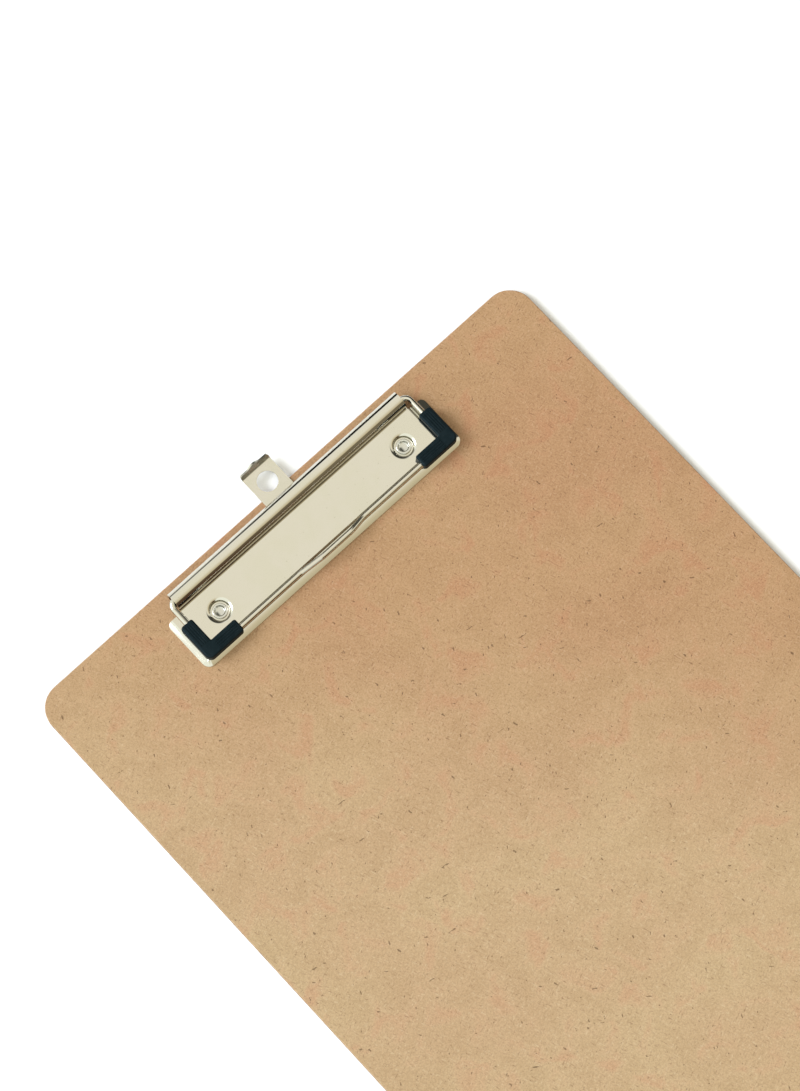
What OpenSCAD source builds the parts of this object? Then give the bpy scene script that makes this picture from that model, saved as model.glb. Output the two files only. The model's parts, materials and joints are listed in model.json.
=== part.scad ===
// A4 clipboard: a hardboard panel with a pressed clip plate riveted to it, a sprung
// wire bail with two rubber corner grips, and a hanging tab that slides under the plate.
// The origin is the middle of the board's back face. +Y runs to the clip end, +Z up.

/* [Board] */
// Width of the board
board_w = 225; // [200:1:260]
// Length of the board
board_l = 315; // [250:1:360]
// Thickness of the board
board_t = 3; // [2.5:0.1:4]
// Radius of the board's corners
board_corner_r = 9.5; // [4:0.5:20]

/* [Clip plate] */
// Width of the clip plate over its side rims
plate_w = 120; // [119:0.2:122]
// Distance from the board's edge to the hinge barrel's axis
hinge_setback = 6.5; // [6:0.1:9]
// Thickness of the plate's sheet metal
sheet_t = 0.8; // [0.7:0.05:0.8]
// Height of the raised panel above the board
panel_h = 2.6; // [2.5:0.05:2.8]
// Height of the flat rim around the panel
rim_h = 1.5; // [1.3:0.05:1.6]

/* [Hinge barrel] */
// Length of the rolled barrel
barrel_l = 106.6; // [104:0.2:107]
// Outer radius of the rolled barrel
barrel_r = 3.3; // [3.2:0.05:3.3]

/* [Wire bail] */
// Diameter of the spring wire
wire_d = 2.2; // [1.8:0.1:2.2]
// Height of the wire's middle above the board along the front
wire_h = 3.5; // [3.4:0.1:4]
// Rise of the finger lift in the front wire
lift_rise = 1.6; // [0.6:0.1:2.5]

/* [Corner grips] */
// Length of a grip's leg along the front
grip_front_l = 16.2; // [12:0.2:20]
// Length of a grip's leg along the side
grip_side_l = 15.4; // [12:0.2:16]
// Height of a grip's top above the board
grip_top = 6.2; // [5.6:0.1:6.6]

/* [Hanging tab] */
// Width of the tab
tab_w = 12.8; // [11:0.1:13]
// Radius of the hanging hole
tab_hole_r = 3.8; // [3:0.1:4]

/* [Rivets] */
// Distance between the two rivets
rivet_gap = 86.3; // [80:0.1:88]
// Radius of a rivet's shank
rivet_r = 2.05; // [1.9:0.05:2.1]

/* [Hidden] */

$fn = 48;
air = 0.1;                       // gap between parts that slide or rest on each other
past = 1;                        // how far a cutter runs past what it cuts

// The clip is drawn about the foot of its hinge axis on the board's top face, and
// its distances run forward from that axis, towards -Y
hinge_y = board_l / 2 - hinge_setback;
strip_z = sheet_t + 2 * air;     // underside of the strip that carries the barrel
hinge_z = strip_z + barrel_r;
barrel_bore_r = barrel_r - sheet_t;
strip_step = 0.1;                // how far the strip's top lies below the barrel's bore
seam = [225, 250];               // open seam of the rolled barrel, as angles

// Pressed plate
plate_front = 25.4;
plate_rear = 4;
panel_front = 21;
panel_side = plate_w / 2 - 6.1;
lip_w = 2.5;                     // sloping outer lip
rim_foot_r = 0.3;
panel_edge_r = min(0.7, panel_h - rim_h - rim_foot_r);
panel_inner_r = 0.3;
front_corner_r = 3;
rear_corner_r = 1.8;

// Pressed recess around each rivet
recess_front = 12.7;
recess_mouth_r = 4.85;
recess_floor_r = 3.5;
recess_lip_r = 0.4;

// Wire bail
wire_r = wire_d / 2;
arm_x = 55.5;
wire_front = 22.15;
rod_rise = 1.15;                 // each torsion rod's distance from the hinge axis
rod_reach = 49;                  // how far each rod runs past the middle
rod_overlap = 4;                 // length of loop that each rod swallows
rod_step = 0.02;                 // how much thicker the rods are than the loop
lift_end = 14.8;
lift_left = -5;
lift_right = 8.6;
lift_forward = 1.15;
corner_bend_r = 2.6;
lift_bend_r = 8;
bail_play = 0.55;                // how far the bail has slid to the right in its barrel

// Rubber grips
grip_side = 58.5;
grip_front = 24.2;
grip_side_w = 5.4;
grip_front_w = 5.3;
grip_round_r = 0.9;
grip_chamfer = 0.6;
notch_gap = 0.25;                // clearance between a grip and the panel's walls

// Hanging tab
tab_bend = hinge_setback + 9.6;
tab_hole = hinge_setback + tab_hole_r + 0.15;
tab_stop = plate_rear + sheet_t + air;
tab_slot_gap = 0.15;
tab_catch_h = 1.5;
tab_bend_r = 0.4;
flange_angle = 58;
flange_l = 1.8;
flange_hump = 0.95;
flange_hump_w = 7;
flange_corner_r = 0.8;
flange_root = 0.02;              // how far the flange runs into the fold

// Semi-tubular rivets
hole_gap = 0.05;
head_r = 4;
head_t = 0.8;
head_chamfer = 0.3;
clinch_r = 2.75;
clinch_h = 0.9;
bore_top_r = 1.95;
bore_r = 1.6;
bore_taper = 0.8;
bore_depth = 0.9;

module on_hinge() {
    translate([0, hinge_y, board_t]) children();
}

module at_rivet(side) {
    on_hinge() translate([side * rivet_gap / 2, -recess_front, 0]) children();
}

// Sweeps a section drawn in Y and Z along X, centred
module along_x(length) {
    rotate([90, 0, 90]) linear_extrude(length, center = true) children();
}

// Sweeps a section drawn in X and Z along Y, from the hinge forward past the plate
module forward() {
    translate([0, past, 0]) rotate([90, 0, 0])
        linear_extrude(plate_front + 2 * past) children();
}

module rounded_rect(w, l, r) {
    square([w - 2 * r, l], center = true);
    square([w, l - 2 * r], center = true);
    for (x = [-1, 1], y = [-1, 1])
        translate([x * (w / 2 - r), y * (l / 2 - r)]) circle(r);
}

function arc(cx, cy, r, a, b, n = 6) = [
    for (i = [0:n]) [cx + r * cos(a + (b - a) * i / n), cy + r * sin(a + (b - a) * i / n)]
];
function backwards(pts) = [for (i = [len(pts) - 1:-1:0]) pts[i]];
function mirrored(pts) = [for (p = pts) [-p[0], p[1]]];

// Board ---------------------------------------------------------------------------

module board() {
    color([0.80, 0.66, 0.50])
    difference() {
        linear_extrude(board_t) rounded_rect(board_w, board_l, board_corner_r);
        for (side = [-1, 1]) at_rivet(side) {
            translate([0, 0, -board_t - past])
                cylinder(r = rivet_r + hole_gap, h = board_t + 2 * past);
            translate([0, 0, -board_t - past])
                cylinder(r = head_r + hole_gap, h = head_t + hole_gap + past);
        }
    }
}

// Clip plate ----------------------------------------------------------------------

// Section of one edge of the plate as [distance out, height], from outside inwards
function edge_top(edge, wall) = concat(
    [[edge, -past], [edge, sheet_t], [edge - lip_w, rim_h]],
    arc(wall + rim_foot_r, rim_h + rim_foot_r, rim_foot_r, 270, 180, 3),
    arc(wall - panel_edge_r, panel_h - panel_edge_r, panel_edge_r, 0, 90)
);
function edge_under(edge, wall) = concat(
    [[edge + past, -past], [edge + past, -past * (rim_h - sheet_t) / lip_w]],
    [[edge - lip_w, rim_h - sheet_t], [wall - sheet_t, rim_h - sheet_t]],
    arc(wall - sheet_t - panel_inner_r, panel_h - sheet_t - panel_inner_r,
        panel_inner_r, 0, 90, 3)
);

module pressed_form(front, side, rear) {
    intersection() {
        along_x(plate_w + 4 * past)
            polygon(concat(mirrored(front), [[-rear, front[len(front) - 1][1]], [-rear, -past]]));
        forward() polygon(concat(side, backwards(mirrored(side))));
    }
}

module plate_outline() {
    intersection() {
        translate([0, -plate_front / 2])
            rounded_rect(plate_w, plate_front, front_corner_r);
        translate([0, -plate_front - plate_rear])
            rounded_rect(plate_w, 2 * plate_front, rear_corner_r);
    }
}

module pressed_sheet() {
    difference() {
        intersection() {
            linear_extrude(panel_h + past) plate_outline();
            pressed_form(edge_top(plate_front, panel_front),
                         edge_top(plate_w / 2, panel_side), plate_rear);
        }
        pressed_form(edge_under(plate_front, panel_front),
                     edge_under(plate_w / 2, panel_side), plate_rear + sheet_t);
    }
}

module recess_wall() {
    rotate_extrude() polygon([
        [0, 0], [recess_floor_r + sheet_t, 0],
        [recess_mouth_r + sheet_t, panel_h - sheet_t / 2], [0, panel_h - sheet_t / 2]
    ]);
}

module recess_hollow() {
    rotate_extrude() polygon(concat(
        [[0, sheet_t], [recess_floor_r, sheet_t]],
        arc(recess_mouth_r + recess_lip_r, panel_h - recess_lip_r, recess_lip_r, 180, 90),
        [[recess_mouth_r + recess_lip_r, panel_h + past], [0, panel_h + past]]
    ));
    translate([0, 0, -past]) cylinder(r = rivet_r + hole_gap, h = sheet_t + 2 * past);
}

// Rolled barrel with its seam, and the strip under it that joins the rear wall
module barrel() {
    reach = 2 * barrel_r;
    along_x(barrel_l) {
        difference() {
            translate([0, hinge_z]) circle(barrel_r);
            translate([0, hinge_z]) circle(barrel_bore_r);
            translate([0, hinge_z]) polygon([
                [0, 0], reach * [cos(seam[0]), sin(seam[0])], reach * [cos(seam[1]), sin(seam[1])]
            ]);
        }
        translate([-plate_rear - sheet_t / 2, strip_z])
            square([plate_rear + sheet_t / 2, sheet_t - strip_step]);
    }
}

module clip_plate() {
    color([0.86, 0.84, 0.76]) on_hinge()
    difference() {
        union() {
            pressed_sheet();
            for (side = [-1, 1]) translate([side * rivet_gap / 2, -recess_front, 0]) recess_wall();
            barrel();
        }
        for (side = [-1, 1]) translate([side * rivet_gap / 2, -recess_front, 0]) recess_hollow();
        // Slot in the rear wall that the tab slides through
        translate([-tab_w / 2 - tab_slot_gap, -plate_rear - sheet_t - past, -past])
            cube([tab_w + 2 * tab_slot_gap, sheet_t + 2 * past, strip_z + past]);
    }
}

// Wire bail -----------------------------------------------------------------------

function unit(v) = v / norm(v);

// Centre line through the corner points p, with an arc of radius bends[i] at point i
function bent_line(p, bends, n = 6) = [
    p[0],
    for (i = [1:len(p) - 2])
        let (d = unit(p[i] - p[i - 1]), e = unit(p[i + 1] - p[i]),
             turn = acos(d * e), start = p[i] - d * bends[i] * tan(turn / 2),
             inward = unit(e - d * (d * e)))
        for (k = [0:n]) let (a = turn * k / n)
            start + bends[i] * (d * sin(a) + inward * (1 - cos(a))),
    p[len(p) - 1]
];

// A round tube of radius r along a line that never runs straight up
module tube(line, r, sides = 16) {
    last = len(line) - 1;
    rings = [for (i = [0:last])
        let (d = unit(line[min(i + 1, last)] - line[max(i - 1, 0)]),
             across = unit(cross(d, [0, 0, 1])), up = cross(across, d))
        for (k = [0:sides - 1]) let (a = 360 * k / sides)
            line[i] + r * (across * cos(a) + up * sin(a))];
    polyhedron(rings, concat(
        [[for (k = [sides - 1:-1:0]) k]],
        [for (i = [0:last - 1], k = [0:sides - 1]) let (next = (k + 1) % sides)
            [i * sides + k, i * sides + next, (i + 1) * sides + next, (i + 1) * sides + k]],
        [[for (k = [0:sides - 1]) last * sides + k]]
    ));
}

// The bent part of the wire, from inside one end of the barrel to inside the other
module wire_loop(r) {
    inside = arm_x - corner_bend_r - rod_overlap;
    high = hinge_z + rod_rise;
    low = hinge_z - rod_rise;
    raised = [0, -lift_forward, lift_rise];
    tube(bent_line([
        [-inside, 0, high], [-arm_x, 0, high], [-arm_x, -wire_front, wire_h],
        [-lift_end, -wire_front, wire_h],
        [lift_left, -wire_front, wire_h] + raised, [lift_right, -wire_front, wire_h] + raised,
        [lift_end, -wire_front, wire_h],
        [arm_x, -wire_front, wire_h], [arm_x, 0, low], [inside, 0, low]
    ], [0, corner_bend_r, corner_bend_r, lift_bend_r, lift_bend_r,
        lift_bend_r, lift_bend_r, corner_bend_r, corner_bend_r, 0]), r);
}

// The two straight torsion rods that lie one over the other in the barrel
module torsion_rods() {
    for (side = [-1, 1])
        translate([side * (corner_bend_r - arm_x), 0, hinge_z + side * rod_rise])
            rotate([0, side * 90, 0])
                cylinder(r = wire_r, h = arm_x - corner_bend_r + rod_reach);
}

module wire_bail() {
    color([0.88, 0.87, 0.83]) on_hinge() translate([bail_play, 0, 0]) {
        wire_loop(wire_r - rod_step);
        torsion_rods();
    }
}

// Corner grips --------------------------------------------------------------------

// A bar in the first quadrant with rounded corners and a chamfered top
module rubber_bar(w, l, h) {
    hull() for (inset = [0, grip_chamfer])
        translate([w / 2, l / 2, 0])
            linear_extrude(h - grip_chamfer + inset, $fn = 32)
                rounded_rect(w - 2 * inset, l - 2 * inset, grip_round_r);
}

module corner_grip(side) {
    foot = rim_h + air;
    color([0.10, 0.11, 0.12]) on_hinge()
    difference() {
        translate([bail_play, 0, 0]) mirror([side > 0 ? 1 : 0, 0, 0])
            translate([-grip_side, -grip_front, foot]) {
                rubber_bar(grip_side_w, grip_side_l, grip_top - foot);
                rubber_bar(grip_front_l, grip_front_w, grip_top - foot);
            }
        // Step that lets the grip lap over the raised panel
        translate([-panel_side - notch_gap, -panel_front - notch_gap, 0])
            cube([2 * (panel_side + notch_gap), panel_front, panel_h + air]);
        translate([bail_play, 0, 0]) wire_loop(wire_r);
    }
}

module left_grip() {
    corner_grip(-1);
}

module right_grip() {
    corner_grip(1);
}

// Hanging tab ---------------------------------------------------------------------

// Half-height of the finger flange along the tab's width, with a hump in the middle
function flange_edge(x) =
    flange_l + (abs(x) < flange_hump_w / 2 ? flange_hump * (1 + cos(360 * x / flange_hump_w)) / 2 : 0);

module flange_shape() {
    half = tab_w / 2;
    hump = [for (i = [12:-1:-12]) let (x = i / 12 * flange_hump_w / 2) [x, flange_edge(x)]];
    polygon(concat(
        [[-half, -flange_root], [half, -flange_root]],
        arc(half - flange_corner_r, flange_l - flange_corner_r, flange_corner_r, 0, 90, 4),
        hump,
        arc(flange_corner_r - half, flange_l - flange_corner_r, flange_corner_r, 90, 180, 4)
    ));
}

module hanging_tab() {
    top = air + sheet_t;
    fold = [tab_bend, top + tab_bend_r];    // centre of the fold's bend
    outer_r = tab_bend_r + sheet_t;
    color([0.85, 0.83, 0.74]) on_hinge()
    difference() {
        union() {
            along_x(tab_w) polygon(concat(
                [[-tab_stop - sheet_t, air]],
                arc(fold[0], fold[1], outer_r, 270, 270 + flange_angle, 8),
                arc(fold[0], fold[1], tab_bend_r, 270 + flange_angle, 270, 8),
                [[-tab_stop, top], [-tab_stop, air + tab_catch_h],
                 [-tab_stop - sheet_t, air + tab_catch_h]]
            ));
            translate([0, fold[0] + outer_r * sin(flange_angle), fold[1] - outer_r * cos(flange_angle)])
                rotate([flange_angle, 0, 0]) linear_extrude(sheet_t) flange_shape();
        }
        translate([0, tab_hole, 0]) cylinder(r = tab_hole_r, h = 2 * top);
    }
}

// Rivets --------------------------------------------------------------------------

module rivet(side) {
    top = sheet_t + clinch_h;
    rim_r = (clinch_r - bore_top_r) / 2;
    color([0.84, 0.83, 0.78]) at_rivet(side)
    rotate_extrude() polygon(concat(
        [[0, -board_t], [head_r - head_chamfer, -board_t], [head_r, head_chamfer - board_t],
         [head_r, head_t - board_t], [rivet_r, head_t - board_t],
         [rivet_r, sheet_t], [clinch_r, sheet_t]],
        arc(clinch_r - rim_r, top - rim_r, rim_r, 0, 180, 12),
        [[bore_r, top - bore_taper], [bore_r, top - bore_depth], [0, top - bore_depth]]
    ));
}

module left_rivet() {
    rivet(-1);
}

module right_rivet() {
    rivet(1);
}

board();
clip_plate();
wire_bail();
left_grip();
right_grip();
hanging_tab();
left_rivet();
right_rivet();
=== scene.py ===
"""The looks of an A4 clipboard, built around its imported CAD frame. Metres, +Z up."""
import json
from math import atan2, cos, pi, radians, sin, tan

import bmesh
import bpy
from mathutils import Matrix, Vector
from mathutils.geometry import tessellate_polygon


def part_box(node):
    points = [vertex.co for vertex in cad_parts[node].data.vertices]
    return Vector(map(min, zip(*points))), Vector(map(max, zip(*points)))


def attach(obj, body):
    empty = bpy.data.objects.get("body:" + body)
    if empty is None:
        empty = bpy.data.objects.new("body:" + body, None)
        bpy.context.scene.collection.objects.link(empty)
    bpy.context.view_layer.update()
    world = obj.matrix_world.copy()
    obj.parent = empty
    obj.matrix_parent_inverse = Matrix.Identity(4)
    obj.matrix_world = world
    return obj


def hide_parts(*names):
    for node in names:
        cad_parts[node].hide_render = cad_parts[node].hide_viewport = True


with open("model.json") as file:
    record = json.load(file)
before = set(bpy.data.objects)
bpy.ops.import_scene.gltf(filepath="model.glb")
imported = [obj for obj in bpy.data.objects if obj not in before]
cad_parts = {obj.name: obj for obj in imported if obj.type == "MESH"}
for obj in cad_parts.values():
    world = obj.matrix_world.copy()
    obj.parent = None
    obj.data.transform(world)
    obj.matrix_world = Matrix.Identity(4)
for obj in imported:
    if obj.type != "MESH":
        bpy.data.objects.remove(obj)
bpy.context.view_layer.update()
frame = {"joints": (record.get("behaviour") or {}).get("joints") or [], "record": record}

MM = 0.001

# Places and sizes taken from the frame, in millimetres ------------------------------
def box_mm(node):
    low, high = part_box(node)
    return low / MM, high / MM


board_hi = box_mm("board")[1]
plate_lo, plate_hi = box_mm("clip_plate")
grip_lo, grip_hi = box_mm("left_grip")
wire_lo, wire_hi = box_mm("wire_bail")
tab_hi = box_mm("hanging_tab")[1]
rivet_lo, rivet_hi = box_mm("right_rivet")
JOINTS = {joint["name"]: joint for joint in frame["joints"]}
HINGE = Vector(JOINTS["bail_hinge"]["pos_m"]) / MM
MOUNTS = {mount["name"]: mount for mount in frame["record"]["mounts"]}
HOLE = Vector(MOUNTS["hanging_hole"]["pos_m"]) / MM
HOLE_R = MOUNTS["hanging_hole"]["dims"]["r_mm"]
TOP = board_hi.z

# The clip's own sizes, in millimetres. Places on the clip are given from the foot of
# the hinge axis on the board's top face: x along the barrel, y to the rear, z up. AIR
# is the gap between pieces that move over each other.
SHEET = 0.8
AIR = 0.1
PANEL_Z = 2.6
RIM_Z = 1.5
PLATE_HALF = plate_hi.x
PLATE_FRONT = HINGE.y - plate_lo.y
PLATE_REAR = 4
PANEL_HALF = PLATE_HALF - 6.1
PANEL_FRONT = PLATE_FRONT - 4.4
LIP_W = 2.5
LIP_EDGE_Z = 0.5
CORNER_R = 3
RIM_FOOT_R = 0.3
PANEL_EDGE_R = 0.65
PANEL_CORNER_R = 1.2
BARREL_HALF = 53.3
BARREL_R = 3.3
HINGE_Z = HINGE.z - TOP
RIVET_X = (rivet_lo.x + rivet_hi.x) / 2
RIVET_Y = (rivet_lo.y + rivet_hi.y) / 2 - HINGE.y
SHANK_R = 2.05
SHANK_HOLE_R = SHANK_R + 0.05
WIRE_R = 1.1
ARM_X = 55.5
BAIL_X = (wire_lo.x + wire_hi.x) / 2
WIRE_FRONT = 22.15
WIRE_Z = 3.5
TAB_HALF = tab_hi.x


def clip_point(x, y, z):
    return Vector((x, HINGE.y + y, TOP + z)) * MM


# Mesh building ----------------------------------------------------------------------
def ring(work, points):
    return [work.verts.new(point) for point in points]


def join(work, a, b, closed=True):
    """Quads between two rows of vertices, facing out where the rows turn anticlockwise."""
    last = len(a) if closed else len(a) - 1
    for i in range(last):
        k = (i + 1) % len(a)
        corners = [a[i], a[k], b[k], b[i]]
        if len(set(corners)) > 2:
            work.faces.new(list(dict.fromkeys(corners)))


def join_all(work, rows, closed=True):
    for a, b in zip(rows, rows[1:]):
        join(work, a, b, closed)


def fill(work, outline, holes=()):
    """Triangles over a flat outline, leaving its holes open."""
    loops = [outline, *holes]
    verts = [vert for loop in loops for vert in loop]
    for triangle in tessellate_polygon([[vert.co for vert in loop] for loop in loops]):
        work.faces.new([verts[i] for i in triangle])


def circle(centre_x, centre_y, radius, z, count=64):
    steps = [2 * pi * i / count for i in range(count)]
    return [clip_point(centre_x + radius * cos(a), centre_y + radius * sin(a), z) for a in steps]


def arc(cx, cy, radius, start, end, count):
    """Points of an arc in degrees, both ends included."""
    turns = [radians(start + (end - start) * i / count) for i in range(count + 1)]
    return [(cx + radius * cos(a), cy + radius * sin(a)) for a in turns]


def turned(work, x, y, profile, count=64):
    """Revolves (radius, height) points about a vertical axis. Radius 0 closes an end."""
    rows = []
    for radius, z in profile:
        if radius == 0:
            rows.append([work.verts.new(clip_point(x, y, z))] * count)
        else:
            rows.append(ring(work, circle(x, y, radius, z, count)))
    join_all(work, rows)
    return rows


def rounded_outline(corners, radii, inset=0, count=8):
    """A closed outline moved inwards by inset, its corners rounded. Anticlockwise."""
    total = len(corners)
    lines = []
    for i, corner in enumerate(corners):
        a, b = Vector(corner), Vector(corners[(i + 1) % total])
        along = (b - a).normalized()
        lines.append((a + Vector((-along.y, along.x)) * inset, along))
    points = []
    for i in range(total):
        (p, d), (q, e) = lines[i - 1], lines[i]
        cross = d.x * e.y - d.y * e.x
        reach = ((q.x - p.x) * e.y - (q.y - p.y) * e.x) / cross
        corner = p + d * reach
        side = 1 if cross > 0 else -1
        radius = max(radii[i] - side * inset, 0.02)
        turn = atan2(cross, d.dot(e))
        start = corner - d * radius * abs(tan(turn / 2))
        centre = start + Vector((-d.y, d.x)) * radius * side
        spoke = start - centre
        for k in range(count + 1):
            angle = turn * k / count
            points.append((centre.x + spoke.x * cos(angle) - spoke.y * sin(angle),
                           centre.y + spoke.x * sin(angle) + spoke.y * cos(angle)))
    return points


def new_piece(name, work, material, body, slot, *nodes):
    """Turns a bmesh into a smooth piece that stands for some CAD nodes."""
    bmesh.ops.remove_doubles(work, verts=work.verts, dist=1e-8)
    bmesh.ops.recalc_face_normals(work, faces=work.faces)
    for face in work.faces:
        face.smooth = True
    mesh = bpy.data.meshes.new(name)
    work.to_mesh(mesh)
    work.free()
    piece = bpy.data.objects.new(name, mesh)
    bpy.context.scene.collection.objects.link(piece)
    mesh.materials.append(material)
    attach(piece, body)
    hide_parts(*nodes)
    return piece


def soften(piece, width, segments=3, angle=30):
    """Rounds the sharp edges and keeps the flat faces flat."""
    piece.data.set_sharp_from_angle(angle=radians(angle))
    bevel = piece.modifiers.new("edges", "BEVEL")
    bevel.width = width * MM
    bevel.segments = segments
    bevel.limit_method = "ANGLE"
    bevel.angle_limit = radians(angle)
    bevel.miter_outer = "MITER_ARC"
    bevel.harden_normals = True


def cut(piece, work):
    """Cuts a closed shape out of a piece."""
    mesh = bpy.data.meshes.new("cutter")
    bmesh.ops.recalc_face_normals(work, faces=work.faces)
    work.to_mesh(mesh)
    work.free()
    cutter = bpy.data.objects.new("cutter", mesh)
    bpy.context.scene.collection.objects.link(cutter)
    modifier = piece.modifiers.new("cut", "BOOLEAN")
    modifier.operation = "DIFFERENCE"
    modifier.object = cutter
    modifier.solver = "EXACT"
    bpy.context.view_layer.objects.active = piece
    bpy.ops.object.modifier_apply(modifier=modifier.name)
    bpy.data.objects.remove(cutter)
    bpy.data.meshes.remove(mesh)


def add_to(piece, build, *values):
    """Adds closed shapes that overlap a piece, once its cuts are made."""
    work = bmesh.new()
    work.from_mesh(piece.data)
    build(work, *values)
    bmesh.ops.recalc_face_normals(work, faces=work.faces)
    for face in work.faces:
        face.smooth = True
    work.to_mesh(piece.data)
    work.free()


# Shader nodes -----------------------------------------------------------------------
def connect(tree, value, socket):
    """Links a socket, or sets a number or colour."""
    if isinstance(value, bpy.types.NodeSocket):
        tree.links.new(value, socket)
    elif isinstance(value, tuple) and len(socket.default_value) == 4:
        socket.default_value = (*value, 1)
    elif value is not None:
        socket.default_value = value


def math_node(tree, operation, a, b=None, c=None):
    node = tree.nodes.new("ShaderNodeMath")
    node.operation = operation
    for socket, value in zip(node.inputs, (a, b, c)):
        connect(tree, value, socket)
    return node.outputs[0]


def blend_range(tree, value, low, high, start=0.0, end=1.0):
    """A smooth change from start to end while the value runs from low to high."""
    node = tree.nodes.new("ShaderNodeMapRange")
    node.interpolation_type = "SMOOTHSTEP"
    ends = {"Value": value, "From Min": low, "From Max": high, "To Min": start, "To Max": end}
    for name, number in ends.items():
        connect(tree, number, node.inputs[name])
    return node.outputs["Result"]


def mix_color(tree, factor, a, b, mode="MIX"):
    node = tree.nodes.new("ShaderNodeMix")
    node.data_type = "RGBA"
    node.blend_type = mode
    for socket, value in ((node.inputs[0], factor), (node.inputs[6], a), (node.inputs[7], b)):
        connect(tree, value, socket)
    return node.outputs[2]


def color_ramp(tree, value, stops):
    """A colour ramp through (position, colour) stops."""
    node = tree.nodes.new("ShaderNodeValToRGB")
    tree.links.new(value, node.inputs[0])
    elements = node.color_ramp.elements
    elements.remove(elements[1])
    for i, (at, color) in enumerate(stops):
        stop = elements[0] if i == 0 else elements.new(at)
        stop.position = at
        stop.color = (*color, 1)
    return node.outputs[0]


def place_mm(tree, scale=(1, 1, 1), turn=0, shift=0):
    """The object's own coordinates in millimetres, shifted, turned and then scaled. A
    scale under 1 stretches a pattern along that turned axis."""
    coord = tree.nodes.new("ShaderNodeTexCoord")
    mapping = tree.nodes.new("ShaderNodeMapping")
    mapping.vector_type = "TEXTURE"
    mapping.inputs["Location"].default_value = [shift * MM] * 3
    mapping.inputs["Rotation"].default_value = (0, 0, turn)
    mapping.inputs["Scale"].default_value = [MM / number for number in scale]
    tree.links.new(coord.outputs["Object"], mapping.inputs[0])
    return mapping.outputs[0]


def noise(tree, place, scale, detail=2.0, distortion=0.0, flat=False):
    """Noise from 0 to 1 with scale features in a millimetre, or flat noise in X and Y."""
    node = tree.nodes.new("ShaderNodeTexNoise")
    node.noise_dimensions = "2D" if flat else "3D"
    tree.links.new(place, node.inputs["Vector"])
    node.inputs["Scale"].default_value = scale
    node.inputs["Detail"].default_value = detail
    node.inputs["Distortion"].default_value = distortion
    return node.outputs["Fac"]


def specks(tree, place, scale, size, share):
    """Specks scattered in X and Y: 1 inside one, in a share of the cells of a grid."""
    cells = tree.nodes.new("ShaderNodeTexVoronoi")
    cells.voronoi_dimensions = "2D"
    tree.links.new(place, cells.inputs["Vector"])
    cells.inputs["Scale"].default_value = scale
    split = tree.nodes.new("ShaderNodeSeparateColor")
    tree.links.new(cells.outputs["Color"], split.inputs[0])
    reach = blend_range(tree, split.outputs[1], 0, 1, 0.35 * size, size)
    core = math_node(tree, "MULTIPLY", reach, 0.5)
    inside = blend_range(tree, cells.outputs["Distance"], core, reach, 1, 0)
    chosen = math_node(tree, "LESS_THAN", split.outputs[0], share)
    return math_node(tree, "MULTIPLY", inside, chosen)


def bump(tree, height, distance, strength=1.0):
    node = tree.nodes.new("ShaderNodeBump")
    node.inputs["Distance"].default_value = distance * MM
    node.inputs["Strength"].default_value = strength
    tree.links.new(height, node.inputs["Height"])
    return node.outputs[0]


def new_material(name, metallic=0.0, specular=0.5):
    material = bpy.data.materials.new(name)
    material.use_nodes = True
    shader = material.node_tree.nodes["Principled BSDF"]
    shader.inputs["Metallic"].default_value = metallic
    shader.inputs["Specular IOR Level"].default_value = specular
    return material, material.node_tree, shader


# Materials --------------------------------------------------------------------------
STEEL = (0.585, 0.58, 0.55)
PALE_BOARD = (0.466, 0.346, 0.208)
ROSY_BOARD = (0.442, 0.302, 0.182)
BLUSH = (0.443, 0.247, 0.149)
PALE_FIBRE = (0.55, 0.43, 0.29)
DARK_FIBRE = (0.20, 0.11, 0.063)
DARK_EDGE = (0.163, 0.093, 0.048)
PALE_EDGE = (0.296, 0.185, 0.104)
BARK = (0.096, 0.048, 0.026)
# The board's colour is multiplied by this at its rear right corner, so it is darker there
REAR_RIGHT_TONE = (0.89, 0.76, 0.70)
# Turn, stretch, cells in a millimetre, size in cells and share of cells of each kind
FLECKS = ((0.2, 0.80, 0.21, 0.060, 0.5), (0.9, 0.40, 0.17, 0.052, 0.4),
          (2.3, 0.35, 0.15, 0.046, 0.4), (1.5, 0.50, 0.10, 0.042, 0.45),
          (2.9, 0.18, 0.09, 0.026, 0.5))


def rear_right_darkening(tree, place):
    """How much the board's colour is darkened, growing towards its rear right corner."""
    split = tree.nodes.new("ShaderNodeSeparateXYZ")
    tree.links.new(place, split.inputs[0])
    sum_mm = math_node(tree, "ADD", split.outputs["X"], split.outputs["Y"])
    return blend_range(tree, sum_mm, -40, 130)


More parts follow.
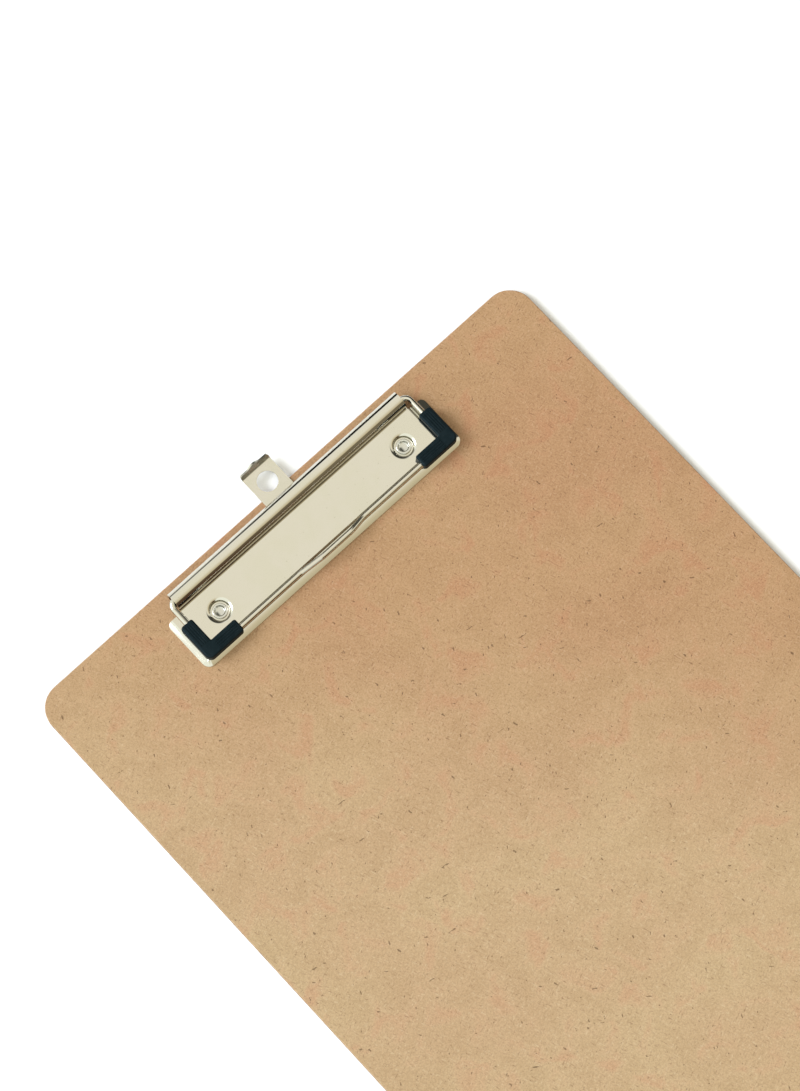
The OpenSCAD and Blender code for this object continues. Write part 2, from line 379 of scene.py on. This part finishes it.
def hardboard():
    """Pressed wood fibre: mottled tan with dark bark flecks and pale loose fibres."""
    material, tree, shader = new_material("hardboard", specular=0.18)
    place = place_mm(tree)
    patches = noise(tree, place, 0.018, 1, flat=True)
    blush = noise(tree, place, 0.085, 3, 0.5, flat=True)
    pulp = noise(tree, place, 1.5, 3, 0.3, flat=True)
    grain = noise(tree, place, 3.4, 2)
    color = mix_color(tree, blend_range(tree, patches, 0.3, 0.7, 0.2, 0.8), PALE_BOARD, ROSY_BOARD)
    color = mix_color(tree, blend_range(tree, blush, 0.52, 0.75, 0, 0.5), color, BLUSH)
    for field, dark in ((blush, 0.97), (pulp, 0.90), (grain, 0.91)):
        tone = mix_color(tree, blend_range(tree, field, 0.32, 0.64),
                         (dark, dark * 0.985, dark * 0.96), (1.04, 1.04, 1.04))
        color = mix_color(tree, 1.0, color, tone, "MULTIPLY")
    for turn, stretch in ((0.4, 0.25), (1.9, 0.22)):
        fibres = noise(tree, place_mm(tree, (stretch, 1, 1), turn), 2.2, 1, 0.5, flat=True)
        color = mix_color(tree, blend_range(tree, fibres, 0.66, 0.76, 0, 0.45), color, PALE_FIBRE)
        color = mix_color(tree, blend_range(tree, fibres, 0.32, 0.22, 0, 0.5), color, DARK_FIBRE)
    wobble = noise(tree, place, 0.8, 2, flat=True)
    for turn, stretch, scale, size, share in FLECKS:
        bent = tree.nodes.new("ShaderNodeVectorMath")
        bent.operation = "ADD"
        tree.links.new(place_mm(tree, (stretch, 1, 1), turn, 37 * turn), bent.inputs[0])
        tree.links.new(wobble, bent.inputs[1])
        flecks = specks(tree, bent.outputs[0], scale, size, share)
        color = mix_color(tree, math_node(tree, "MULTIPLY", flecks, 0.7), color, BARK)
    side = tree.nodes.new("ShaderNodeSeparateXYZ")
    tree.links.new(tree.nodes.new("ShaderNodeNewGeometry").outputs["Normal"], side.inputs[0])
    edge = blend_range(tree, math_node(tree, "ABSOLUTE", side.outputs[2]), 0.8, 0.35)
    layers = noise(tree, place_mm(tree, (0.12, 0.12, 2.2)), 1.3, 4, 0.3)
    sawn = mix_color(tree, blend_range(tree, layers, 0.35, 0.65), DARK_EDGE, PALE_EDGE)
    color = mix_color(tree, edge, color, sawn)
    color = mix_color(tree, rear_right_darkening(tree, place), color, REAR_RIGHT_TONE, "MULTIPLY")
    connect(tree, color, shader.inputs["Base Color"])
    connect(tree, blend_range(tree, pulp, 0.3, 0.7, 0.62, 0.5), shader.inputs["Roughness"])
    height = math_node(tree, "MULTIPLY_ADD", pulp, 0.6, math_node(tree, "MULTIPLY", grain, 0.5))
    height = math_node(tree, "MULTIPLY_ADD", math_node(tree, "MULTIPLY", layers, edge), 1.6, height)
    connect(tree, bump(tree, height, 0.06), shader.inputs["Normal"])
    return material


def nickel(name, seed, draw=(1, 1, 1), tint=(0.615, 0.593, 0.53), rough=0.05):
    """Bright nickel plate, with a faint haze, small pits and rub marks along draw."""
    material, tree, shader = new_material(name, metallic=1)
    place = place_mm(tree)
    haze = noise(tree, place, 0.11, 2, 0.4)
    rubs = noise(tree, place_mm(tree, draw, 0.05 * seed, seed), 2.4, 2)
    scratch = blend_range(tree, rubs, 0.68, 0.78)
    pits = specks(tree, place, 0.25, 0.05, 0.4)
    hazy = mix_color(tree, 1.0, tint, (0.985, 0.99, 0.965), "MULTIPLY")
    color = mix_color(tree, blend_range(tree, haze, 0.35, 0.65), tint, hazy)
    color = mix_color(tree, math_node(tree, "MULTIPLY", pits, 0.35), color, (0.26, 0.22, 0.16))
    connect(tree, color, shader.inputs["Base Color"])
    dull = math_node(tree, "ADD", blend_range(tree, haze, 0.3, 0.7, rough, rough + 0.05),
                     math_node(tree, "MULTIPLY", scratch, 0.08))
    connect(tree, dull, shader.inputs["Roughness"])
    dents = math_node(tree, "MULTIPLY", pits, -0.3)
    connect(tree, bump(tree, dents, 0.01, 0.3), shader.inputs["Normal"])
    return material


def rubber():
    """Black moulded rubber with a fine mould grain and a little dust."""
    material, tree, shader = new_material("black_rubber", specular=0.15)
    place = place_mm(tree)
    grain = noise(tree, place, 6.0, 3)
    bloom = noise(tree, place, 0.5, 3, 0.5)
    dust = specks(tree, place, 0.8, 0.09, 0.3)
    color = mix_color(tree, blend_range(tree, bloom, 0.35, 0.65), (0.0032, 0.0072, 0.0092),
                      (0.0058, 0.0105, 0.013))
    color = mix_color(tree, math_node(tree, "MULTIPLY", dust, 0.25), color, (0.11, 0.115, 0.115))
    connect(tree, color, shader.inputs["Base Color"])
    shader.inputs["Specular Tint"].default_value = (0.55, 0.85, 1, 1)
    connect(tree, blend_range(tree, bloom, 0.3, 0.7, 0.42, 0.55), shader.inputs["Roughness"])
    connect(tree, bump(tree, grain, 0.03, 0.6), shader.inputs["Normal"])
    return material


def floor_paper():
    material, tree, shader = new_material("floor_paper", specular=0.1)
    place = place_mm(tree)
    tone = mix_color(tree, noise(tree, place, 0.02, 2), (0.93, 0.94, 0.965), (0.945, 0.955, 0.98))
    connect(tree, tone, shader.inputs["Base Color"])
    shader.inputs["Roughness"].default_value = 0.9
    return material


# Board ------------------------------------------------------------------------------
BOARD_CORNER_R = 9.5
EASE = 0.35
HEAD_RECESS_R = 4.05
HEAD_RECESS_D = 0.85
RECESS_CHAMFER = 0.1


def make_board(material):
    work = bmesh.new()
    half_w, half_l, thick = board_hi.x, board_hi.y, board_hi.z
    corners = [(-half_w, -half_l), (half_w, -half_l), (half_w, half_l), (-half_w, half_l)]
    levels = [(EASE - x, z) for x, z in arc(0, EASE, EASE, 270, 360, 4)]
    levels += [(EASE - x, z) for x, z in arc(0, thick - EASE, EASE, 0, 90, 4)]
    rows = []
    for inset, z in levels:
        outline = rounded_outline(corners, [BOARD_CORNER_R] * 4, inset, 24)
        rows.append(ring(work, [Vector((x, y, z)) * MM for x, y in outline]))
    join_all(work, rows)
    wall = [(HEAD_RECESS_R + RECESS_CHAMFER, 0), (HEAD_RECESS_R, RECESS_CHAMFER),
            (HEAD_RECESS_R, HEAD_RECESS_D), (SHANK_HOLE_R, HEAD_RECESS_D), (SHANK_HOLE_R, thick)]
    holes = []
    for x in (-RIVET_X, RIVET_X):
        holes.append(turned(work, x, RIVET_Y, [(r, z - TOP) for r, z in wall], 48))
    fill(work, rows[0], [hole[0] for hole in holes])
    fill(work, rows[-1], [hole[-1] for hole in holes])
    piece = new_piece("board_panel", work, material, "board_assembly", "board", "board")
    piece.modifiers.new("normals", "WEIGHTED_NORMAL")


# Clip plate -------------------------------------------------------------------------
LIP_STEPS = 8
LIP_CURVE = 1.35
CREASE = 0.07
EAR_R = 1.8


def plate_row(work, inset_x, inset_y, z, radius, rear):
    """A U-shaped row of vertices round the front of the plate, open at the rear. The
    lip is creased where it enters and leaves its corners."""
    half, front = PLATE_HALF - inset_x, PLATE_FRONT - inset_y
    left = arc(-half + radius, -front + radius, radius, 180, 270, 10)
    right = arc(half - radius, -front + radius, radius, 270, 360, 10)
    inner_rear = -PLATE_REAR - SHEET
    path = [(-half, inner_rear)] + left + right + [(half, inner_rear)]
    if rear:
        path = [(-half, -PLATE_REAR)] + path + [(half, -PLATE_REAR)]
    heights = [z] * len(path)
    if 0 < inset_x < LIP_W:
        for crease in (4, 9, 15, 20):
            heights[crease] -= CREASE
    return ring(work, [clip_point(x, y, height) for (x, y), height in zip(path, heights)])


def top_levels():
    """Insets at the sides and front, height and corner radius, from the foot inwards."""
    levels = [(0, 0, 0, CORNER_R), (0, 0, LIP_EDGE_Z, CORNER_R)]
    for i in range(1, LIP_STEPS + 1):
        inset = LIP_W * i / LIP_STEPS
        z = RIM_Z - (RIM_Z - LIP_EDGE_Z) * (1 - i / LIP_STEPS) ** LIP_CURVE
        levels.append((inset, inset, z, CORNER_R - inset))
    side, front = PLATE_HALF - PANEL_HALF, PLATE_FRONT - PANEL_FRONT
    foot = arc(RIM_FOOT_R, RIM_Z + RIM_FOOT_R, RIM_FOOT_R, 270, 180, 4)
    edge = arc(-PANEL_EDGE_R, PANEL_Z - PANEL_EDGE_R, PANEL_EDGE_R, 0, 90, 9)
    for out, z in foot + edge:
        levels.append((side - out, front - out, z, PANEL_CORNER_R + out))
    return levels


def under_levels():
    """The same for the underside, from the inner edge of the lip."""
    side, front = PLATE_HALF - PANEL_HALF + SHEET, PLATE_FRONT - PANEL_FRONT + SHEET
    under_rim, corner_r, bend_r = RIM_Z - SHEET, 0.7, 0.3
    levels = [(LIP_W, LIP_W, under_rim, CORNER_R - LIP_W), (side, front, under_rim, corner_r)]
    bend = arc(-bend_r, PANEL_Z - SHEET - bend_r, bend_r, 0, 90, 3)
    return levels + [(side - out, front - out, z, corner_r + out) for out, z in bend]


def recess_profile():
    """Pressed dish around a rivet, from its mouth down to the shank hole."""
    mouth_at, mouth_r = 5.05, 2.0
    foot_at, foot_r = 3.25, 0.3
    mouth = arc(mouth_at, PANEL_Z - mouth_r, mouth_r, 90, 132, 12)
    foot = arc(foot_at, SHEET + foot_r, foot_r, -22, -90, 6)
    return mouth + foot + [(SHANK_HOLE_R, SHEET)]


def recess_back():
    """The dish's underside, which stops just short of the board."""
    wide_r, narrow_r, foot_z = 5.65, 4.6, 0.02
    return [(wide_r, PANEL_Z - SHEET), (narrow_r, foot_z), (SHANK_HOLE_R, foot_z)]


def make_pressed_sheet(work):
    top = [plate_row(work, *level, rear=True) for level in top_levels()]
    under = [plate_row(work, *level, rear=False) for level in under_levels()]
    join_all(work, top, closed=False)
    join_all(work, [top[0][1:-1]] + under, closed=False)
    mouths, backs = [], []
    for x in (-RIVET_X, RIVET_X):
        upper = turned(work, x, RIVET_Y, recess_profile())
        lower = turned(work, x, RIVET_Y, recess_back())
        join(work, upper[-1], lower[-1])
        mouths.append(upper[0])
        backs.append(lower[0])
    fill(work, top[-1], mouths)
    fill(work, under[-1], backs)
    make_rear_wall(work, top, under)


def make_rear_wall(work, top, under):
    """The wall behind the panel, with the slot that the tab slides through."""
    slot_x, slot_z = TAB_HALF + 0.15, 1.0
    outer, inner = -PLATE_REAR, -PLATE_REAR - SHEET
    notch = {}
    for y in (outer, inner):
        spots = [(-slot_x, 0), (-slot_x, slot_z), (slot_x, slot_z), (slot_x, 0)]
        notch[y] = ring(work, [clip_point(x, y, z) for x, z in spots])
    left_outer, right_outer = [row[0] for row in top], [row[-1] for row in top]
    left_inner = [top[0][1]] + [row[0] for row in under]
    right_inner = [top[0][-2]] + [row[-1] for row in under]
    work.faces.new(left_outer + right_outer[::-1] + notch[outer][::-1])
    work.faces.new(left_inner + right_inner[::-1] + notch[inner][::-1])
    join(work, notch[outer], notch[inner], closed=False)
    work.faces.new([left_outer[0], left_inner[0], notch[inner][0], notch[outer][0]])
    work.faces.new([right_outer[0], right_inner[0], notch[inner][3], notch[outer][3]])


def ear_corners():
    """The two square corners that are cut off the rear of the side lips."""
    work = bmesh.new()
    below, above = -1, 2
    for side in (-1, 1):
        x, y = PLATE_HALF - EAR_R, -PLATE_REAR - EAR_R
        far_x, far_y = x + 2 * EAR_R, y + 2 * EAR_R
        curve = arc(x, y, EAR_R, -5, 95, 14)
        spots = [(far_x, curve[0][1]), *curve, (curve[-1][0], far_y), (far_x, far_y)]
        rows = [ring(work, [clip_point(side * px, py, z) for px, py in spots])
                for z in (below, above)]
        join_all(work, rows)
        for row in rows:
            work.faces.new(row)
    return work


def make_barrel(work):
    """The sheet's rear strip, rolled up round the torsion rods."""
    bottom, seam, steps = 270, 585, 84
    outer = arc(0, HINGE_Z, BARREL_R, bottom, seam, steps)
    inner = arc(0, HINGE_Z, BARREL_R - SHEET, seam, bottom, steps)
    strip = -PLATE_REAR - SHEET / 2
    section = [(strip, HINGE_Z - BARREL_R)] + outer + inner + [(strip, inner[-1][1])]
    rows = [ring(work, [clip_point(x, y, z) for y, z in section])
            for x in (-BARREL_HALF, BARREL_HALF)]
    join_all(work, rows)
    for row in rows:
        work.faces.new(row)


def make_plate(material):
    work = bmesh.new()
    make_pressed_sheet(work)
    piece = new_piece("plate_pressing", work, material, "board_assembly", "plate", "clip_plate")
    cut(piece, ear_corners())
    add_to(piece, make_barrel)
    soften(piece, 0.12, angle=38)


# Wire bail --------------------------------------------------------------------------
ROD_REACH = 49
ROD_RISE = 1.15
LIFT_END = 14.8
LIFT_LEFT = -5
LIFT_RIGHT = 8.6
LIFT_FORWARD = 1.15
LIFT_RISE = 1.6
CORNER_BEND_R = 2.6
LIFT_BEND_R = 8


def bent_line(points, bends, count=10):
    """The line through the corner points, with an arc of the given radius at each."""
    points = [Vector(point) for point in points]
    line = [points[0]]
    for before, corner, after, bend in zip(points, points[1:], points[2:], bends):
        d, e = (corner - before).normalized(), (after - corner).normalized()
        turn = d.angle(e)
        start = corner - d * bend * tan(turn / 2)
        inward = (e - d * d.dot(e)).normalized()
        for k in range(count + 1):
            a = turn * k / count
            line.append(start + bend * (d * sin(a) + inward * (1 - cos(a))))
    return line + [points[-1]]


def wire_line():
    """From the end of one torsion rod round the bail to the end of the other."""
    high, low = HINGE_Z + ROD_RISE, HINGE_Z - ROD_RISE
    lift_y, lift_z = -WIRE_FRONT - LIFT_FORWARD, WIRE_Z + LIFT_RISE
    corners = [
        (ROD_REACH, 0, high), (-ARM_X, 0, high), (-ARM_X, -WIRE_FRONT, WIRE_Z),
        (-LIFT_END, -WIRE_FRONT, WIRE_Z), (LIFT_LEFT, lift_y, lift_z),
        (LIFT_RIGHT, lift_y, lift_z), (LIFT_END, -WIRE_FRONT, WIRE_Z),
        (ARM_X, -WIRE_FRONT, WIRE_Z), (ARM_X, 0, low), (-ROD_REACH, 0, low),
    ]
    corner_bends = [CORNER_BEND_R] * 2
    return bent_line(corners, corner_bends + [LIFT_BEND_R] * 4 + corner_bends)


def make_tube(work, line, radius, sides=32):
    """A round wire along a line, its ends rounded over."""
    rows = []
    across = Vector((0, 0, 1))
    for i, point in enumerate(line):
        d = (line[min(i + 1, len(line) - 1)] - line[max(i - 1, 0)]).normalized()
        across = (across - d * across.dot(d)).normalized()
        up = d.cross(across)
        spots = [point + radius * (across * cos(2 * pi * k / sides) + up * sin(2 * pi * k / sides))
                 for k in range(sides)]
        rows.append(ring(work, [clip_point(spot.x + BAIL_X, spot.y, spot.z) for spot in spots]))
    join_all(work, rows)
    for row in (rows[0], rows[-1]):
        work.faces.new(row)


def make_wire(material):
    work = bmesh.new()
    make_tube(work, wire_line(), WIRE_R)
    piece = new_piece("bail_wire", work, material, "bail", "wire", "wire_bail")
    soften(piece, 0.25, angle=50)


# Rubber grips -----------------------------------------------------------------------
GRIP_TOP = grip_hi.z - TOP
GRIP_FOOT = grip_lo.z - TOP
GRIP_SIDE = BAIL_X - grip_lo.x
GRIP_FRONT = HINGE.y - grip_lo.y
GRIP_SIDE_L = grip_hi.y - grip_lo.y
GRIP_FRONT_L = grip_hi.x - grip_lo.x
LEG_W = 5.3
RIB_H = 0.2
RIB_W = 0.5
RIB_PITCH = 0.88
FIRST_RIB = 0.95


def grip_outline(inset):
    """The L of a grip, from its outer corner along the front leg."""
    x, y = -GRIP_SIDE, -GRIP_FRONT
    corners = [(x, y), (x + GRIP_FRONT_L, y), (x + GRIP_FRONT_L, y + LEG_W), (x + LEG_W, y + LEG_W),
               (x + LEG_W, y + GRIP_SIDE_L), (x, y + GRIP_SIDE_L)]
    corner_radii = [2.4, 1.2, 0.8, 0.3, 0.8, 1.2]
    return rounded_outline(corners, corner_radii, inset)


def stacked(work, side, outline, levels):
    """A closed shape whose outline shrinks by (inset, height) levels."""
    rows = []
    for inset, z in levels:
        spots = [clip_point(BAIL_X - side * x, y, z) for x, y in outline(inset)]
        rows.append(ring(work, spots))
    join_all(work, rows)
    for row in (rows[0], rows[-1]):
        work.faces.new(row)


def grip_ribs(work, side):
    """Low ribs moulded along the top of each leg."""
    top = GRIP_TOP
    levels = [(0, top - 0.4), (0, top - 0.09), (0.05, top - 0.02), (0.13, top)]
    start, margin = LEG_W + 0.3, 1
    end_x, end_y = -GRIP_SIDE + GRIP_FRONT_L - margin, -GRIP_FRONT + GRIP_SIDE_L - margin
    for i in range(4):
        near = FIRST_RIB + RIB_PITCH * i
        x, y = -GRIP_SIDE + near, -GRIP_FRONT + near
        for low, high in (((-GRIP_SIDE + start, y), (end_x, y + RIB_W)),
                          ((x, -GRIP_FRONT + start), (x + RIB_W, end_y))):
            box = [low, (high[0], low[1]), high, (low[0], high[1])]
            stacked(work, side, lambda inset: rounded_outline(box, [0.2] * 4, inset, 3), levels)


def panel_step():
    """The space over the raised panel that the grips lap over."""
    work = bmesh.new()
    clearance = 0.25
    half, front = PANEL_HALF + clearance, -PANEL_FRONT - clearance
    spots = [(-half, front), (half, front), (half, 0), (-half, 0)]
    rows = [ring(work, [clip_point(x, y, z) for x, y in spots]) for z in (0, PANEL_Z + AIR)]
    join_all(work, rows)
    for row in rows:
        work.faces.new(row)
    return work


def make_grip(side, name, node, material):
    work = bmesh.new()
    top = GRIP_TOP - RIB_H
    foot_r, shoulder_r = 0.25, 0.8
    foot = [(foot_r - x, z) for x, z in arc(0, GRIP_FOOT + foot_r, foot_r, 270, 360, 3)]
    shoulder = [(shoulder_r - x, z) for x, z in arc(0, top - shoulder_r, shoulder_r, 0, 90, 8)]
    stacked(work, side, grip_outline, foot + shoulder)
    piece = new_piece(name, work, material, "bail", "rubber", node)
    cut(piece, panel_step())
    add_to(piece, grip_ribs, side)
    piece.data.set_sharp_from_angle(angle=radians(50))
    normals = piece.modifiers.new("normals", "WEIGHTED_NORMAL")
    normals.keep_sharp = True


# Hanging tab ------------------------------------------------------------------------
FLANGE_ANGLE = radians(58)
FOLD_R = 0.4
FLANGE_L = 1.8
FLANGE_CORNER_R = 0.8
HUMP_W = 7
HUMP_H = 0.95
CATCH_H = 1.5


def flange_height(x):
    """How far the finger flange stands past its fold, with a hump in the middle."""
    corner = FLANGE_CORNER_R
    over = max(abs(x) - (TAB_HALF - corner), 0)
    height = FLANGE_L - corner + (corner ** 2 - over ** 2) ** 0.5
    if abs(x) < HUMP_W / 2:
        height += HUMP_H * (1 + cos(2 * pi * x / HUMP_W)) / 2
    return height


def flange_columns():
    """Where the flange's rows have their vertices, closer at its corners and hump."""
    rounded = [TAB_HALF - FLANGE_CORNER_R * (1 - sin(radians(a))) for a in (0, 20, 42, 90)]
    middle = [HUMP_W / 2 * i / 14 for i in range(-14, 15)]
    return [-x for x in reversed(rounded)] + middle + rounded


def tab_side(work, offset):
    """One face of the tab's sheet, offset from its top face downwards."""
    z = AIR + SHEET - offset
    bend_y = tab_bend_y()
    radius = FOLD_R + offset
    centre_z = AIR + SHEET + FOLD_R
    columns = flange_columns()
    rows = []
    for k in range(9):
        a = FLANGE_ANGLE * k / 8
        rows.append(ring(work, [clip_point(x, bend_y + radius * sin(a), centre_z - radius * cos(a))
                                for x in columns]))
    rise, run = sin(FLANGE_ANGLE), cos(FLANGE_ANGLE)
    last_y, last_z = bend_y + radius * rise, centre_z - radius * run
    rows.append(ring(work, [clip_point(x, last_y + flange_height(x) * run,
                                       last_z + flange_height(x) * rise) for x in columns]))
    join_all(work, rows, closed=False)
    inner_y = -PLATE_REAR - SHEET - AIR - offset
    catch_z = AIR + CATCH_H
    foot = ring(work, [clip_point(x, inner_y, z) for x in (-TAB_HALF, TAB_HALF)])
    catch = ring(work, [clip_point(x, inner_y, catch_z) for x in (-TAB_HALF, TAB_HALF)])
    work.faces.new(foot + catch[::-1])
    hole = ring(work, circle(0, HOLE.y - HINGE.y, HOLE_R, z))
    fill(work, foot + rows[0][::-1], [hole])
    left = [catch[0], foot[0]] + [row[0] for row in rows]
    right = [catch[1], foot[1]] + [row[-1] for row in rows]
    return left + rows[-1][1:-1] + right[::-1], hole


def tab_bend_y():
    """Where the flat of the tab ends and the fold of its flange begins."""
    reach = (FOLD_R + SHEET) * sin(FLANGE_ANGLE) + flange_height(0) * cos(FLANGE_ANGLE)
    return tab_hi.y - HINGE.y - reach


def make_tab(material):
    work = bmesh.new()
    upper, upper_hole = tab_side(work, 0)
    lower, lower_hole = tab_side(work, SHEET)
    join(work, upper, lower)
    join(work, upper_hole, lower_hole)
    piece = new_piece("tab_sheet", work, material, "tab", "tab", "hanging_tab")
    soften(piece, 0.07, 2, 38)


# Rivets -----------------------------------------------------------------------------
HEAD_R = 4.0
HEAD_T = 0.8
HEAD_EDGE_R = 0.4
CLINCH_R = 2.75
CLINCH_H = 0.9
MOUTH_R = 1.95
BORE_D = 0.9


def rivet_profile():
    """From the flat head in the board's back up over the clinch and into the bore."""
    top, back = SHEET + CLINCH_H, -TOP
    outer_r, inner_r, flat_r, dip = 0.22, 0.12, 2.6, 0.02
    head = [(0, back), (flat_r, back + dip)]
    head += arc(HEAD_R - HEAD_EDGE_R, back + HEAD_EDGE_R, HEAD_EDGE_R, 270, 360, 6)
    shank = [(HEAD_R, back + HEAD_T), (SHANK_R, back + HEAD_T), (SHANK_R, SHEET), (flat_r, SHEET)]
    rim = arc(CLINCH_R - outer_r, top - outer_r, outer_r, 0, 90, 6)
    rim += arc(MOUTH_R + inner_r, top - inner_r, inner_r, 90, 180, 5)
    bore = [(1.92, top - 0.3), (1.6, top - 0.85), (1.5, top - BORE_D), (0, top - BORE_D)]
    return head + shank + rim + bore


def make_rivet(side, name, node, material):
    work = bmesh.new()
    turned(work, side * RIVET_X, RIVET_Y, rivet_profile())
    piece = new_piece(name, work, material, "board_assembly", "rivets", node)
    soften(piece, 0.06, 2, 40)


# Camera -----------------------------------------------------------------------------
# It looks down from nearly overhead at a spot in from the clip's end, with the board
# turned in the picture by the heading that points up
AIM = Vector((18.46, board_hi.y - 44.17, TOP)) * MM
CAMERA_DISTANCE = 1.3868
VIEW_FROM = Vector((-0.14496, -0.16736, 0.97518))
UP_HEADING = radians(47.34)
LENS = 131.75


def make_camera():
    data = bpy.data.cameras.new("camera")
    data.sensor_fit = "VERTICAL"
    data.sensor_height = 36
    data.lens = LENS
    data.clip_end = 20
    camera = bpy.data.objects.new("camera", data)
    bpy.context.scene.collection.objects.link(camera)
    back = VIEW_FROM.normalized()
    hint = Vector((cos(UP_HEADING), sin(UP_HEADING), 0))
    right = hint.cross(back).normalized()
    turned_axes = Matrix((right, back.cross(right), back)).transposed()
    camera.matrix_world = Matrix.Translation(AIM + back * CAMERA_DISTANCE) @ turned_axes.to_4x4()
    bpy.context.scene.camera = camera


# Light ------------------------------------------------------------------------------
# The light is this much brighter than white paper needs, so that faint shadows on the
# floor wash out. The clipboard's own colours are darker by as much.
LIGHT_LEVEL = 1.35
BACKDROP = (0.95, 0.95, 0.945)
ROOM = (0.20, 0.17, 0.11)
GAP = (0.005, 0.006, 0.005)
DARK_CORNER = (0.06, 0.06, 0.05)
LEFT_TINT = (1.00, 1.03, 0.95)
KEY_FROM = Vector((-0.60, 0.46, 0.64))
KEY_COLOR = (7.8, 8.2, 8.9)
KEY_INNER, KEY_OUTER = radians(11), radians(18)
# From the horizon behind (0) over the zenith (0.5) to the horizon in front (1)
DIFFUSER = (
    (0.0, (0.92, 0.92, 0.88)), (0.22, (0.87, 0.86, 0.79)), (0.42, (0.885, 0.855, 0.745)),
    (0.54, (0.87, 0.84, 0.72)), (0.62, (0.79, 0.74, 0.60)), (0.70, (0.67, 0.60, 0.43)),
    (0.757, (0.57, 0.50, 0.34)), (0.775, (0.16, 0.09, 0.05)), (0.79, (0.075, 0.04, 0.022)),
    (1.0, (0.075, 0.04, 0.022)),
)


def studio_dome(tree, x, y, z):
    """The diffuser, with a room in front, a gap behind and a dark corner at the right."""
    forward = math_node(tree, "MULTIPLY", y, -1)
    overhead = math_node(tree, "ARCTAN2", forward, z)
    span = math_node(tree, "MULTIPLY_ADD", overhead, 1 / pi, 0.5)
    dome = color_ramp(tree, span, DIFFUSER)
    # The front room is lighter away to the right
    azimuth = math_node(tree, "ARCTAN2", x, math_node(tree, "ABSOLUTE", y))
    low_front = blend_range(tree, overhead, 0.82, 0.95)
    room = math_node(tree, "MULTIPLY", blend_range(tree, azimuth, 0.10, 0.17), low_front)
    dome = mix_color(tree, room, dome, ROOM)
    # The gap behind sinks, widens and darkens towards the right
    right = blend_range(tree, azimuth, 0.09, 0.15)
    middle = math_node(tree, "MULTIPLY_ADD", right, -0.14, 0.42)
    width = math_node(tree, "MULTIPLY_ADD", right, 0.12, 0.18)
    above = math_node(tree, "ADD", overhead, pi / 2)
    off = math_node(tree, "ABSOLUTE", math_node(tree, "SUBTRACT", above, middle))
    depth = math_node(tree, "MULTIPLY_ADD", right, 0.27, 0.72)
    inner = math_node(tree, "SUBTRACT", width, 0.03)
    shade = math_node(tree, "MULTIPLY", blend_range(tree, off, width, inner), depth)
    dome = mix_color(tree, shade, dome, GAP)
    # Dark at the right rear, brighter at the left
    rear = blend_range(tree, y, -0.10, 0.10)
    corner = math_node(tree, "MULTIPLY", blend_range(tree, x, 0.24, 0.48), rear)
    dome = mix_color(tree, corner, dome, DARK_CORNER)
    return mix_color(tree, blend_range(tree, x, -0.10, -0.35), dome, LEFT_TINT)


def key_softbox(tree, direction):
    """A round softbox at the left rear with a soft edge."""
    key = tree.nodes.new("ShaderNodeVectorMath")
    key.operation = "DOT_PRODUCT"
    tree.links.new(direction, key.inputs[0])
    key.inputs[1].default_value = KEY_FROM.normalized()
    shape = blend_range(tree, key.outputs["Value"], cos(KEY_OUTER), cos(KEY_INNER))
    return mix_color(tree, 1.0, shape, KEY_COLOR, "MULTIPLY")


def make_world():
    """A pale studio. The camera sees a plain backdrop instead of it."""
    world = bpy.data.worlds.new("studio")
    world.use_nodes = True
    bpy.context.scene.world = world
    tree = world.node_tree
    tree.nodes.clear()
    direction = tree.nodes.new("ShaderNodeTexCoord").outputs["Generated"]
    split = tree.nodes.new("ShaderNodeSeparateXYZ")
    tree.links.new(direction, split.inputs[0])
    dome = studio_dome(tree, *split.outputs)
    light = mix_color(tree, 1.0, dome, key_softbox(tree, direction), "ADD")
    seen = tree.nodes.new("ShaderNodeLightPath").outputs["Is Camera Ray"]
    background = tree.nodes.new("ShaderNodeBackground")
    tree.links.new(mix_color(tree, seen, light, BACKDROP), background.inputs["Color"])
    background.inputs["Strength"].default_value = LIGHT_LEVEL
    output = tree.nodes.new("ShaderNodeOutputWorld")
    tree.links.new(background.outputs[0], output.inputs["Surface"])


def make_floor():
    half_width, below_board = 4, 0.05 * MM
    work = bmesh.new()
    bmesh.ops.create_grid(work, x_segments=1, y_segments=1, size=half_width)
    mesh = bpy.data.meshes.new("floor")
    work.to_mesh(mesh)
    work.free()
    floor = bpy.data.objects.new("floor", mesh)
    floor.location.z = -below_board
    bpy.context.scene.collection.objects.link(floor)
    mesh.materials.append(floor_paper())


# The whole scene --------------------------------------------------------------------
make_camera()
make_world()
make_floor()
make_board(hardboard())
make_plate(nickel("plate_nickel", 1.0, (0.06, 1, 1)))
make_wire(nickel("wire_nickel", 2.0, (0.2, 1, 1)))
black = rubber()
for side, word in ((-1, "left"), (1, "right")):
    make_grip(side, word + "_grip_rubber", word + "_grip", black)
make_tab(nickel("tab_nickel", 3.0, (1, 0.08, 1), rough=0.20))
for side, word, seed in ((-1, "left", 4.0), (1, "right", 5.0)):
    steel = nickel(word + "_rivet_nickel", seed, tint=STEEL, rough=0.11)
    make_rivet(side, word + "_rivet_metal", word + "_rivet", steel)

view = bpy.context.scene.view_settings
view.view_transform = "Standard"
view.look = "None"
